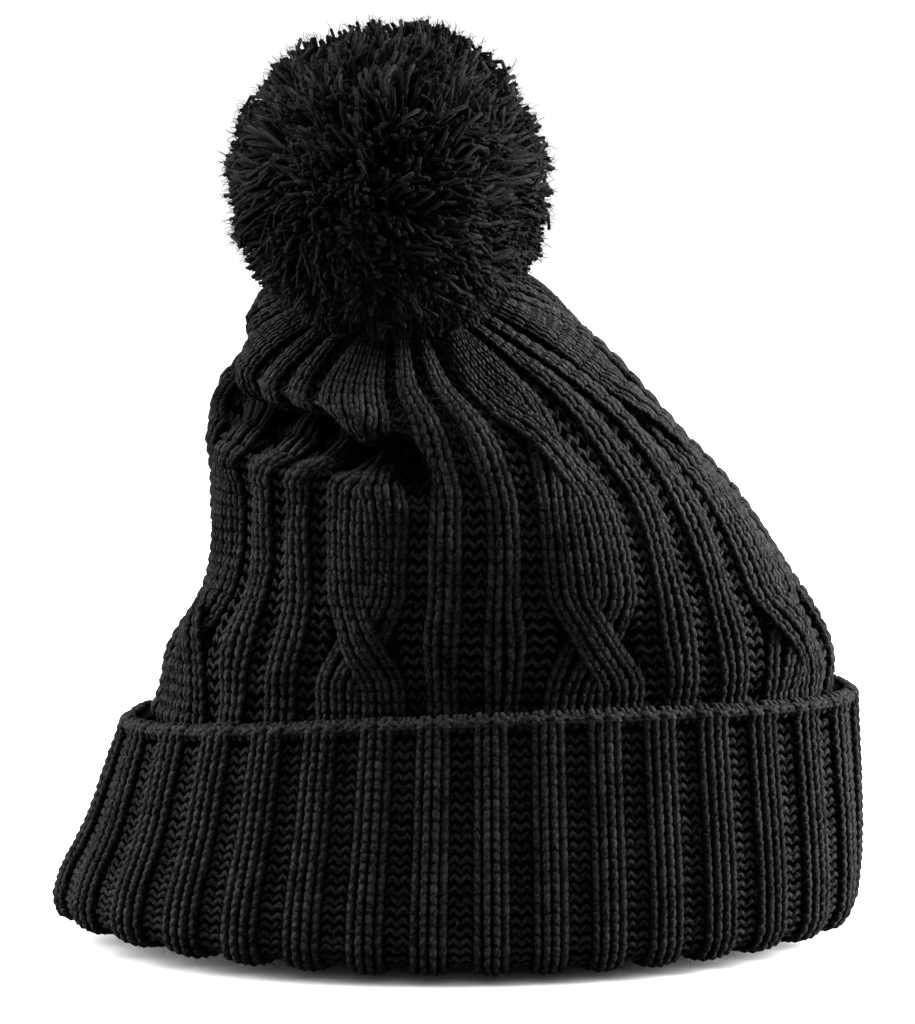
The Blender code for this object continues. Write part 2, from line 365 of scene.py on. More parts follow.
def black_yarn(name, dark, pale, ply_mm=1.9, bump_mm=0.35, strand_change=0.35, painted_side_shade=2.0):
    """Three-ply yarn. Its sides are painted darker than its crest by painted_side_shade, as painted shade
    from the neighbouring yarn. Strands differ at random by strand_change, which also scales the painted
    shading along them."""
    made, tree, shader, place, fibres, uv = wool(name)
    shader.inputs["Sheen Tint"].default_value = linear("#b9bac0")
    split = node(tree, "ShaderNodeSeparateXYZ", Vector=uv.outputs[0])
    turns = node(tree, "ShaderNodeMath", {"operation": "MULTIPLY"}, i0=split.outputs[0], i1=PLIES)
    climb = node(tree, "ShaderNodeMath", {"operation": "DIVIDE"}, i0=split.outputs[1], i1=ply_mm)
    spiral = node(tree, "ShaderNodeMath", {"operation": "ADD"}, i0=turns.outputs[0], i1=climb.outputs[0])
    wave = node(tree, "ShaderNodeMath", {"operation": "PINGPONG"}, i0=spiral.outputs[0], i1=0.5)
    ply = node(tree, "ShaderNodeMath", {"operation": "POWER"}, i0=wave.outputs[0], i1=0.6)
    patches = node(tree, "ShaderNodeTexNoise", {"noise_dimensions": "3D"}, Vector=place.outputs["Object"],
                   Scale=70.0, Detail=2.0, Roughness=0.5)
    strand = node(tree, "ShaderNodeAttribute", {"attribute_name": "strand"})
    # Painted shade: round from its crest, the yarn's sides are drawn darker than the crest.
    outer = node(tree, "ShaderNodeMath", {"operation": "ADD"}, i0=split.outputs[0], i1=0.25)
    crest = node(tree, "ShaderNodeMath", {"operation": "PINGPONG"}, i0=outer.outputs[0], i1=0.5)
    painted_side_tone = node(tree, "ShaderNodeMath", {"operation": "MULTIPLY_ADD"}, i0=crest.outputs[0], i1=painted_side_shade,
                  i2=-0.42 * painted_side_shade)
    tone = node(tree, "ShaderNodeMath", {"operation": "MULTIPLY_ADD"}, i0=fibres.outputs[0], i1=4.0,
                i2=painted_side_tone.outputs[0])
    tone = node(tree, "ShaderNodeMath", {"operation": "ADD"}, i0=tone.outputs[0], i1=-1.95)
    more = node(tree, "ShaderNodeMath", {"operation": "MULTIPLY_ADD"}, i0=strand.outputs["Fac"],
                i1=strand_change, i2=tone.outputs[0])
    most = node(tree, "ShaderNodeMath", {"operation": "MULTIPLY_ADD", "use_clamp": True},
                i0=patches.outputs[0], i1=0.5, i2=more.outputs[0])
    dyed(tree, shader, most, dark, pale)
    rise = node(tree, "ShaderNodeMath", {"operation": "MULTIPLY_ADD"}, i0=fibres.outputs[0], i1=0.8,
                i2=ply.outputs[0])
    bump = node(tree, "ShaderNodeBump", None, Height=rise.outputs[0], Strength=0.9, Distance=bump_mm * MM)
    tree.links.new(bump.outputs[0], shader.inputs["Normal"])
    rough = node(tree, "ShaderNodeMapRange", None, Value=fibres.outputs[0])
    rough.inputs["To Min"].default_value = 0.78
    rough.inputs["To Max"].default_value = 0.98
    tree.links.new(rough.outputs[0], shader.inputs["Roughness"])
    return made


knit_yarn = black_yarn("black_knitting_yarn", "#020202", "#2f2f30")

# -----------------------------------------------------------------------------
# The crown's ground: the cloth behind the stitches, knitted in the same ribs and cables. It is
# one closed wall of knitting, open at the rim and at the eyelet, and it hides every gap.

# This yarn is drawn near-black: painted shade for the hollows behind and between the stitches, and for the
# pompom's heart.
painted_shade_yarn = black_yarn("black_yarn_painted_shade", "#020202", "#070707", bump_mm=0.3)


def closed_wall(name, outer, inner, back):
    """A wall between two (rows, columns, 3) skins in mm that close round their columns. back is what
    its inner skin is made of."""
    rows, columns = outer.shape[:2]
    points = np.concatenate((outer.reshape(-1, 3), inner.reshape(-1, 3))) * MM
    index = np.arange(rows * columns).reshape(rows, columns)
    beside = np.roll(index, -1, axis=1)
    second = rows * columns
    faces = [np.stack((index[:-1], beside[:-1], beside[1:], index[1:]), -1).reshape(-1, 4)]
    faces.append(np.stack((index[1:], beside[1:], beside[:-1], index[:-1]), -1).reshape(-1, 4) + second)
    faces.append(np.stack((index[0] + second, beside[0] + second, beside[0], index[0]), -1))
    faces.append(np.stack((index[-1], beside[-1], beside[-1] + second, index[-1] + second), -1))
    mesh = bpy.data.meshes.new(name)
    mesh.from_pydata(points.tolist(), [], np.concatenate(faces).tolist())
    mesh.shade_smooth()
    mesh.materials.append(painted_shade_yarn)
    mesh.materials.append(back)
    steps = np.linalg.norm(np.diff(outer, axis=0), axis=2).mean(1)
    climbs = np.concatenate(([0], np.cumsum(steps)))
    uv = np.empty((rows, columns, 2))
    uv[..., 0] = np.arange(columns) / columns
    uv[..., 1] = climbs[:, None]
    uv = np.concatenate((uv.reshape(-1, 2), uv.reshape(-1, 2)))
    corner = np.empty(len(mesh.loops), np.int32)
    mesh.loops.foreach_get("vertex_index", corner)
    uv = uv[corner].reshape(-1, 4, 2)
    last_column = np.ptp(uv[..., 0], axis=1) > 0.5
    uv[last_column, :, 0] += uv[last_column, :, 0] < 0.5
    mesh.uv_layers.new(name="yarn").data.foreach_set("uv", uv.ravel())
    side = np.zeros(len(mesh.polygons), np.int32)
    side[len(faces[0]):2 * len(faces[0])] = 1
    mesh.polygons.foreach_set("material_index", side)
    made = bpy.data.objects.new(name, mesh)
    bpy.context.scene.collection.objects.link(made)
    return made


def knit_back(name, row_mm):
    """The back of the knitting, whose loops show as rows of small arches that interlock like bricks."""
    made, tree, shader, _, fibres, uv = wool(name)
    scaled = node(tree, "ShaderNodeMapping", None, Vector=uv.outputs[0],
                  Scale=(STITCHES_ROUND, 1 / row_mm, 1.0))
    arches = node(tree, "ShaderNodeTexBrick", {"offset": 0.5}, Vector=scaled.outputs[0],
                  Color1=(1, 1, 1, 1), Color2=(0.6, 0.6, 0.6, 1), Mortar=(0, 0, 0, 1), Scale=1.0,
                  Mortar_Size=0.13, Mortar_Smooth=1.0, Brick_Width=1.0, Row_Height=0.5)
    tone = node(tree, "ShaderNodeMath", {"operation": "MULTIPLY"}, i0=arches.outputs["Color"],
                i1=fibres.outputs[0])
    dyed(tree, shader, tone, "#020202", "#2a2a2c")
    bump = node(tree, "ShaderNodeBump", None, Height=arches.outputs["Color"], Strength=0.9, Distance=1.2 * MM)
    tree.links.new(bump.outputs[0], shader.inputs["Normal"])
    shader.inputs["Roughness"].default_value = 0.92
    return made


GROUND_DROP = 1.1
INSIDE = -6.2
ground_rows = np.linspace(0, CROWN_ROWS, 76)[:, None]
ground_shares = (np.arange(REPEATS * 40) / (REPEATS * 40) - 0.5)[None, :]
ground_across = (ground_shares - FIRST_CABLE) * UNITS_ROUND
ground_lift = crown_relief(ground_across % REPEAT_UNITS, ground_rows)
ground_shares = ground_shares + drawn_in(ground_across, ground_rows) / UNITS_ROUND
near_eyelet = eased(ground_rows, CROWN_ROWS - 7, CROWN_ROWS - 1)
ground_lift = ground_lift * (1 - near_eyelet) + TROUGH * 0.6 * near_eyelet - GROUND_DROP
crown_outer, _ = on_crown(ground_shares, ground_rows, ground_lift)
crown_inner, _ = on_crown(ground_shares, ground_rows, INSIDE + 0.55 * (ground_lift - TROUGH))
crown_ground = closed_wall("crown_ground", crown_outer, crown_inner, knit_back("black_knit_back", ROW))
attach(crown_ground, "hat")
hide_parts("crown_knit")

# -----------------------------------------------------------------------------
# The crown's knit stitches. Each shows as a V of two plump legs, which lean apart from the foot
# of the stitch and pass under the next one. Knit pairs stand up in ribs between the cables.

CROWN_YARN = 1.02
FIRST_SEEN_ROW = 17.0
LEG_SHARE = 0.31
UNEVEN_ROW = 0.04
UNEVEN_GIRTH = 0.04

# A stitch leg's path: its lean in stitch widths, its climb in rows and its rise in radii. Then its
# girth along the way, and its painted shade, darker where it passes under its neighbours.
along_leg = np.linspace(0, 1, 5)
LEG_LEAN = 0.14 + 0.17 * along_leg
LEG_CLIMB = -0.50 + 1.42 * along_leg
LEG_RISE = np.interp(along_leg, (0, 0.3, 0.6, 0.85, 1), (-0.9, 0.15, 0.45, 0.05, -0.85))
LEG_GIRTH = np.array((0.72, 1.0, 1.08, 1.0, 0.7))
LEG_PAINTED_SHADE = -1.5 * np.abs(np.linspace(-1, 1, 5)) ** 3


def unit_width(row):
    """The width of one pattern unit in mm at a row, on average round the hat."""
    return np.interp(ring_of_row(row), crown_levels, crown_girth) / UNITS_ROUND


def fold_painted_shade(share, row):
    """Painted shade: how much darker the wool is drawn deep in the slouch's fold, where shade falls."""
    place = ring_of_row(row)
    turn = looked_up(crown_turns, place / LAST_RING, share)
    return -2.4 * np.clip(-slouch(turn, place)[0] / 5.0, 0, 1)


def crown_lines(shares, rows, sideways, climb, lift):
    """Yarn lengths on the crown, from the shares and rows of their stitches and (points) shapes
    sideways in pattern units, upward in rows and outward in mm: points, normals and the painted shade
    of the slouch's fold."""
    shares, at_rows = shares[:, None], rows[:, None] + climb
    at_shares = shares + (sideways + drawn_in(sideways, at_rows)) / UNITS_ROUND
    points, normals = on_crown(at_shares, at_rows, lift)
    return points, normals, fold_painted_shade(shares + sideways / UNITS_ROUND, at_rows)


def rib_stitches(name, offsets):
    """Two legs for each stitch of the knit columns at these offsets in pattern units."""
    rng = np.random.default_rng(10)
    share, offset, row, side = (
        a.ravel() for a in np.meshgrid(cable_middles, offsets, crown_rows, (-1, 1), indexing="ij"))
    row = row + rng.normal(0, UNEVEN_ROW, row.shape)
    girth = np.minimum(1.0, LEG_SHARE * KNIT_WIDTH * unit_width(row) / CROWN_YARN)
    thick = CROWN_YARN * girth * rng.normal(1, UNEVEN_GIRTH, row.shape)
    sideways = offset[:, None] + side[:, None] * LEG_LEAN * KNIT_WIDTH
    lift = crown_relief(sideways, row[:, None] + LEG_CLIMB) + LEG_RISE * thick[:, None]
    points, normals, painted_shading = crown_lines(share, row, sideways, LEG_CLIMB, lift)
    return yarn_mesh(name, points, thick[:, None] * LEG_GIRTH, normals, knit_yarn, painted_shading=LEG_PAINTED_SHADE + painted_shading)


crown_rows = np.arange(FIRST_SEEN_ROW, CROWN_ROWS - 0.6)
cable_middles = FIRST_CABLE + np.arange(REPEATS) / REPEATS
rib_offsets = [middle + side * KNIT_WIDTH / 2 for middle in KNIT_PAIRS for side in (-1, 1)]
crown_ribs = rib_stitches("crown_ribs", rib_offsets)
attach(crown_ribs, "hat")

# -----------------------------------------------------------------------------
# The purl stitches between the ribs lie low. Each shows the top of its loop as a small bump, and
# the yarn between two loops as another half a row on, so that the bumps zigzag up the trough.


PURL_THICKNESS = 0.74
UNEVEN_PURL = 0.05
UNEVEN_LIFT = 0.1

# One row's yarn across a trough: its way across, its rise and fall in rows, its lift in radii and
# its girth.
PURL_REACH = np.linspace(-1, 1, 9)
PURL_BOW = -0.30 * np.cos(math.tau * PURL_REACH)
PURL_RISE = np.interp(np.abs(PURL_REACH), (0, 0.25, 0.5, 0.75, 1), (0.1, 0.5, 1.0, 0.6, -0.6))
PURL_GIRTH = 1 + 0.12 * np.abs(np.cos(math.pi * PURL_REACH))


def purl_stitches(name, middles, rows):
    rng = np.random.default_rng(11)
    share, middle, row = (a.ravel() for a in np.meshgrid(cable_middles, middles, rows, indexing="ij"))
    row = row + rng.normal(0, UNEVEN_PURL, row.shape)
    thick = PURL_THICKNESS * np.minimum(CROWN_YARN, 0.34 * unit_width(row))
    sideways = middle[:, None] + PURL_REACH * 0.86
    high = TROUGH + 0.1 + (PURL_RISE + 0.35)[None, :] * thick[:, None]
    high = high + rng.normal(0, UNEVEN_LIFT, sideways.shape)
    points, normals, painted_shading = crown_lines(share, row, sideways, PURL_BOW, high)
    return yarn_mesh(name, points, thick[:, None] * PURL_GIRTH, normals, knit_yarn, painted_shading=painted_shading)


crown_purls = purl_stitches("crown_purls", PURL_PAIRS, crown_rows[:-3])
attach(crown_purls, "hat")

# -----------------------------------------------------------------------------
# The cables. Six knit columns in two strands of three, which trade places every sixteenth row:
# the strand that goes from lower right to upper left passes in front of the other.


def cable_path(column, row):
    """Where a cable's column runs: its offset in pattern units and its lift in mm."""
    swapped, near, number = crossing(row)
    odd = np.mod(number, 2)
    before = np.where(odd == 0, column, (column + 3) % 6)
    in_front = before >= 3
    strand = np.where(in_front, 1.5, -1.5) * (1 - 2 * swapped)
    within = before % 3 - 1.0
    offset = strand * (1 - 0.1 * near) + within * (1 + np.where(in_front, 0.24, 0.6) * near)
    over = np.sin(math.pi * swapped)
    return offset, np.where(in_front, 1.7, -0.6) * over - 0.35 * near * within**2


def cable_half(name, middles):
    rng = np.random.default_rng(11)
    columns, share, row, side = (
        a.ravel() for a in np.meshgrid(np.arange(6), middles, crown_rows, (-1, 1), indexing="ij"))
    row = row + rng.normal(0, UNEVEN_ROW, row.shape)
    thick = CROWN_YARN * 0.94 * np.minimum(1.0, LEG_SHARE * unit_width(row) / CROWN_YARN)
    thick = thick * rng.normal(1, UNEVEN_GIRTH, row.shape)
    at_row = row[:, None] + LEG_CLIMB
    offset, over = cable_path(columns[:, None], at_row)
    sideways = offset + side[:, None] * LEG_LEAN * 0.95
    lift = crown_relief(sideways, at_row) + over + LEG_RISE * thick[:, None] + 0.1
    points, normals, painted_shading = crown_lines(share, row, sideways, LEG_CLIMB, lift)
    made = yarn_mesh(name, points, thick[:, None] * LEG_GIRTH, normals, knit_yarn, painted_shading=LEG_PAINTED_SHADE + painted_shading)
    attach(made, "hat")
    return made


left_cables = cable_half("cables_left", cable_middles[[0, 5, 6, 7]])
right_cables = cable_half("cables_right", cable_middles[[1, 2, 3, 4]])

# -----------------------------------------------------------------------------
# The cuff. The same tube of cloth goes on in a two-by-two rib, folds outward at the rim and
# stands up against the crown. Its cast-on edge is on top, and its fold is what the hat stands on.

CUFF_ROW = 2.72
RIBS = 32
CUFF_YARN = 1.02
CUFF_INSIDE = -3.3
LIP_DROP = 2.4
PAIR_PLACES = (-0.152, 0.152)


def cuff_top(turn):
    """The height of the cuff's top in mm. It is lowest on the left."""
    return 65.0 + 4.0 * np.sin(turn) + 5.0 * np.cos(turn) ** 2


def cuff_section(turn, climb):
    """(offset outward, height) of the cuff's cloth in mm, where climb runs from the fold's inside at
    0, round the fold to 0.16, up the wall, and over the lip at 1."""
    top = cuff_top(turn)
    lean = np.interp(climb, (0, 0.04, 0.08, 0.12, 0.16, 0.3, 0.6, 0.93, 0.97, 1.0),
                     (-3.4, -0.6, 2.4, 5.6, 7.4, 7.6, 6.7, 6.3, 5.6, 4.2))
    lean = lean + 0.62 * hem_rise(turn) * (1 - eased(climb, 0.2, 0.6)) * (np.sin(turn) < 0)
    wall = 8.5 + (climb - 0.16) / (0.93 - 0.16) * (top - LIP_DROP - 8.5)
    fold = np.interp(climb, (0, 0.04, 0.08, 0.12, 0.16), (3.4, 2.9, 2.9, 4.2, 8.5))
    lip = top - LIP_DROP + np.interp(climb, (0.93, 0.97, 1.0), (0, 1.9, 2.2))
    height = np.where(climb < 0.16, fold, np.where(climb > 0.93, lip, wall))
    return lean, height + hem_rise(turn) * (1 - eased(climb, 0.1, 0.55))


low_places = np.linspace(0, 4, 81)
low_heights = ring_at(low_places)[:, 0]


def place_at(height):
    """The crown's fractional ring at a height in mm."""
    return np.interp(height, low_heights, low_places)


def cuff_skin(turn, climb):
    """Points of the cuff's middle surface, which follows the crown at its own offset."""
    turn, climb = np.broadcast_arrays(np.asarray(turn, float), np.asarray(climb, float))
    lean, height = cuff_section(turn, climb)
    place = place_at(height)
    points = skin(turn, place)
    level = outward(turn, place) * np.array((1.0, 1.0, 0.0))
    points = points + lean[..., None] * unit(level)
    points[..., 2] = height
    return points


def cuff_outward(turn, climb):
    along = cuff_skin(turn, climb + 0.012) - cuff_skin(turn, climb - 0.012)
    across = cuff_skin(turn + 0.02, climb) - cuff_skin(turn - 0.02, climb)
    return unit(np.cross(across, along))


cuff_levels = np.linspace(0, 1, 41)
cuff_rings = ring_at(place_at(cuff_section(0.0, cuff_levels)[1]))
cuff_fronts = np.arcsin((9.0 - cuff_rings[:, 1]) / cuff_rings[:, 3])
cuff_turns = even_turns(cuff_skin, cuff_levels, cuff_fronts)
cuff_line = cuff_skin(cuff_fronts, cuff_levels)
cuff_length = np.concatenate(([0], np.cumsum(np.linalg.norm(np.diff(cuff_line, axis=0), axis=1))))
CUFF_ROWS = cuff_length[-1] / CUFF_ROW


def on_cuff(share, row, lift):
    """Points and normals of the cuff's knitting. Row 0 is inside the fold."""
    share, row, lift = np.broadcast_arrays(share, row, lift)
    climb = np.interp(row * CUFF_ROW, cuff_length, cuff_levels)
    turn = looked_up(cuff_turns, climb, share - 0.007 * np.sin(math.tau * share))
    normal = cuff_outward(turn, climb)
    return cuff_skin(turn, climb) + lift[..., None] * normal, normal


def cuff_relief(across):
    """How high the rib stands, across one rib of width 1 measured from a knit pair's middle."""
    across = (across + 0.5) % 1.0 - 0.5
    return -2.3 + ridge(across, 0.37, 2.9)


cuff_ground_rows = np.linspace(0, CUFF_ROWS, 44)[:, None]
cuff_shares = (np.arange(RIBS * 12) / (RIBS * 12) - 0.5)[None, :]
cuff_outer, _ = on_cuff(cuff_shares, cuff_ground_rows, cuff_relief(cuff_shares * RIBS) - GROUND_DROP)
cuff_inner, _ = on_cuff(cuff_shares, cuff_ground_rows, CUFF_INSIDE)
cuff_ground = closed_wall("cuff_ground", cuff_outer, cuff_inner, knit_back("black_rib_back", CUFF_ROW))
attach(cuff_ground, "hat")
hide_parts("cuff_knit")

cuff_rows = np.arange(1.0, CUFF_ROWS - 1.5)


def cuff_knits(name):
    rng = np.random.default_rng(5)
    rib, pair, row, side = (
        a.ravel() for a in np.meshgrid(np.arange(RIBS), PAIR_PLACES, cuff_rows, (-1, 1), indexing="ij"))
    row = row + rng.normal(0, UNEVEN_ROW, row.shape)
    thick = CUFF_YARN * rng.normal(1, 0.035, row.shape)
    sideways = pair[:, None] + side[:, None] * (LEG_LEAN * 0.22 + 0.025)
    lift = cuff_relief(sideways) + LEG_RISE * 0.8 * thick[:, None]
    shares = (rib[:, None] + sideways) / RIBS - 0.5
    points, normals = on_cuff(shares, row[:, None] + LEG_CLIMB, lift)
    radii = thick[:, None] * np.array((0.8, 1.0, 1.06, 1.0, 0.78))
    return yarn_mesh(name, points, radii, normals, knit_yarn, painted_shading=LEG_PAINTED_SHADE)


def cuff_purls(name):
    rng = np.random.default_rng(6)
    rib, row = (a.ravel() for a in np.meshgrid(np.arange(RIBS) + 0.5, cuff_rows[:-1], indexing="ij"))
    row = row + rng.normal(0, UNEVEN_PURL, row.shape)
    thick = CUFF_YARN * PURL_THICKNESS * np.ones_like(row)
    shares = (rib[:, None] + PURL_REACH * 0.205) / RIBS - 0.5
    high = -2.1 + (PURL_RISE + 0.35)[None, :] * thick[:, None] + rng.normal(0, UNEVEN_LIFT, shares.shape)
    points, normals = on_cuff(shares, row[:, None] + PURL_BOW, high)
    return yarn_mesh(name, points, thick[:, None] * PURL_GIRTH, normals, knit_yarn)


cuff_ribs = cuff_knits("cuff_ribs")
cuff_purl_bumps = cuff_purls("cuff_purls")
for piece in (cuff_ribs, cuff_purl_bumps):
    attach(piece, "hat")

# -----------------------------------------------------------------------------
# The cast-on edge. Each first loop of yarn wraps over the lip of the cuff, and a twisted strand
# runs along under them, which bridges the troughs with small arches.


def cast_on_edge(name):
    rng = np.random.default_rng(8)
    stitches = np.arange(STITCHES_ROUND)
    middles = (stitches // 4) + np.array((*PAIR_PLACES, 0.412, 0.588))[stitches % 4]
    knit = (stitches % 4) < 2
    lines, lifts = [], []
    over = np.linspace(0, 1, 6)
    for side in (-1, 1):
        sideways = middles[:, None] + side * (0.075 - 0.03 * over)
        rows = CUFF_ROWS - 1.7 + 1.7 * over + rng.normal(0, 0.06, (len(middles), 1))
        high = np.where(knit, 0.75, -0.6)[:, None] * (1 - over**2) + 0.1 * over
        high = high + rng.normal(0, UNEVEN_LIFT, (len(middles), 1))
        points, normals = on_cuff(sideways / RIBS - 0.5, rows, high)
        lines.append(points)
        lifts.append(normals)
    steps = np.linspace(-0.62, 0.62, 6)
    for strand in (-1, 1):
        sideways = middles[:, None] + steps / 4 + strand * 0.02
        rows = CUFF_ROWS - 0.95 + 0.26 * strand * np.sin(math.pi * steps)
        high = np.where(knit, 0.55, -0.1)[:, None] + 0.5 * np.cos(math.pi * steps / 1.3)
        points, normals = on_cuff(sideways / RIBS - 0.5, rows, high)
        lines.append(points)
        lifts.append(normals)
    radii = 0.95 * np.array((0.75, 1.0, 1.05, 1.05, 1.0, 0.75))
    return yarn_mesh(name, np.concatenate(lines), radii, np.concatenate(lifts), knit_yarn)


cast_on = cast_on_edge("cast_on_edge")
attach(cast_on, "hat")

# -----------------------------------------------------------------------------
# The back seam. A flat-knitted hat is sewn shut with one seam up its back: the edges turn in, and
# the sewing yarn catches them with slanting stitches, which show as a ridge on the inside.

sewing_yarn = black_yarn("black_sewing_yarn", "#0a0a0b", "#1e1e20", ply_mm=1.4)


def seam_stitches(name, place_of, lift, facing, steps, reach_mm, radius):
    """Slanting stitches up the back, from the crown's rings at a share of the way along. They lie
    lift mm off its skin and stand up outward (1) or inward (-1)."""
    at = np.linspace(0, 1, steps)
    lines, lifts = [], []
    for side in (-1, 1):
        t = np.linspace(0, 1, 5)
        along = at[:-1, None] + (at[1] - at[0]) * (0.1 + 1.3 * t)
        place = place_of(np.clip(along, 0, 1))
        normals = outward(math.pi, place)
        points = skin(math.pi, place) + lift * normals
        shift = side * reach_mm * (0.15 + 0.75 * np.sin(math.pi * (0.15 + 0.7 * t)))
        rise = radius * (0.2 + 0.9 * np.sin(math.pi * t))
        lines.append(points + shift[:, None] * np.array((1.0, 0.0, 0.0)) + facing * rise[:, None] * normals)
        lifts.append(facing * normals)
    radii = radius * np.array((0.75, 1.0, 1.1, 1.0, 0.75))
    made = yarn_mesh(name, np.concatenate(lines), radii, np.concatenate(lifts), sewing_yarn)
    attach(made, "hat")
    return made


crown_seam = seam_stitches("crown_seam_stitches", lambda along: 0.5 + along * 8.0, -6.0, -1, 64, 2.0, 1.0)
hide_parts("crown_back_seam")
cuff_seam = seam_stitches("cuff_seam_stitches", lambda along: place_at(10.0 + along * 50.0), 1.3, 1, 19,
                          1.9, 0.8)
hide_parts("cuff_back_seam")

# -----------------------------------------------------------------------------
# The pompom's tie. Two plies of sewing yarn come up through the eyelet from a knot inside the
# crown, and the crown's own gathering yarn is drawn round them. All of it lies on the tie's line.

TIE_LEAN = math.radians(30.0)
FLEX_POINT = CUFF_MIDDLE + np.array((-16.0, -20.3, 179.0))
tie_up = np.array((0.0, -math.sin(TIE_LEAN), math.cos(TIE_LEAN)))
tie_side = np.array((1.0, 0.0, 0.0))
tie_back = np.cross(tie_up, tie_side)


def on_tie(points):
    """Carries (x, y, height) from the tie's own frame, which starts at its flex point."""
    points = np.asarray(points, float)
    return FLEX_POINT + points[..., :1] * tie_side + points[..., 1:2] * tie_back + points[..., 2:] * tie_up


def wound(radius_of, height_of, turns, steps, thick, start=0.0):
    """A length of yarn wound round the tie, with its radius and height given along it from 0 to 1."""
    t = np.linspace(0, 1, steps)
    angle = start + math.tau * turns * t
    radius = radius_of(t)
    line = on_tie(np.stack((radius * np.cos(angle), radius * np.sin(angle), height_of(t)), -1))[None]
    return line, thick


def joined_windings(name, body, windings):
    """Several windings as one piece of yarn."""
    parts = []
    for k, (line, thick) in enumerate(windings):
        side = unit(np.cross(unit(np.gradient(line, axis=1)), tie_up + np.array((0.2, 0.1, 0.0))))
        parts.append(yarn_mesh(f"{name}{k}", line, thick, side, sewing_yarn, sides=8))
    bpy.ops.object.select_all(action="DESELECT")
    for part in parts:
        part.select_set(True)
    bpy.context.view_layer.objects.active = parts[0]
    bpy.ops.object.join()
    parts[0].name = name
    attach(parts[0], body)
    return parts[0]


gather = joined_windings("gathering_yarn", "hat", [
    wound(lambda t: 4.3 + 0.25 * np.sin(9 * t), lambda t: -2.4 + 1.7 * t, 2.3, 70, 0.75)])
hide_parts("crown_gather_yarn")
neck = joined_windings("tie_neck", "pompom_tie", [
    wound(lambda t: 0.85 + 0 * t, lambda t: -9.2 + 11.0 * t, 1.9, 40, 0.85, start)
    for start in (0.0, math.pi)])
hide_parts("pompom_tie_neck")
knot = joined_windings("tie_knot", "pompom_tie", [
    wound(lambda t: 4.4 + 1.1 * np.cos(3 * math.tau * t), lambda t: -7.4 + 1.2 * np.sin(3 * math.tau * t),
          2.0, 110, 1.1)])
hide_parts("pompom_tie_knot")
binding = joined_windings("pompom_binding_wraps", "pompom", [
    wound(lambda t: 0.8 + 0 * t, lambda t: 3.8 + 20.0 * t, 3.4, 60, 0.8),
    wound(lambda t: 0.8 + 0 * t, lambda t: 3.8 + 20.0 * t, 3.4, 60, 0.8, start=math.pi),
    wound(lambda t: 4.3 - 1.2 * np.abs(2 * t - 1) ** 3, lambda t: 24.6 + 6.6 * t, 6.5, 170, 0.8)])
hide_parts("pompom_binding")

# -----------------------------------------------------------------------------
# The pompom. Thousands of lengths of yarn are squeezed at their middle by the binding and cut to a
# ball. They part at the front and the back and flow outward to shaggy ends. Underneath they splay
# over the crown.

BALL_RADIUS = 40.0
LONGEST_STRAND = 41.6
BINDING_RADIUS = 7.0
BALL_MIDDLE = FLEX_POINT + 28.0 * tie_up + np.array((-0.8, 0.0, 1.3))
POMPOM_YARN = 0.46
pompom_yarn = black_yarn("black_pompom_yarn", "#010101", "#1e1e1f", ply_mm=2.3, bump_mm=0.2,
                         strand_change=0.7, painted_side_shade=1.0)


def above_crown(points, clearance):
    """Points below the crown's top, as the tie sees it, lifted to lie on it."""
    away = points - FLEX_POINT
    height = away @ tie_up
    flat = away - height[..., None] * tie_up
    spread = np.linalg.norm(flat, axis=-1)
    floor = clearance - np.maximum(spread - 8.0, 0) ** 2 / 105.0
    return points + np.maximum(floor - height, 0)[..., None] * tie_up


def drift(places, seed, waves, quickness):
    """A smooth wandering that neighbouring strands share: a few random waves over the ball."""
    rng = np.random.default_rng(seed)
    moved = np.zeros_like(places)
    for _ in range(waves):
        pull, way = rng.normal(size=3), rng.normal(0, quickness, 3)
        moved += pull * np.sin(places @ way + rng.uniform(0, math.tau))[..., None]
    return moved / math.sqrt(waves)


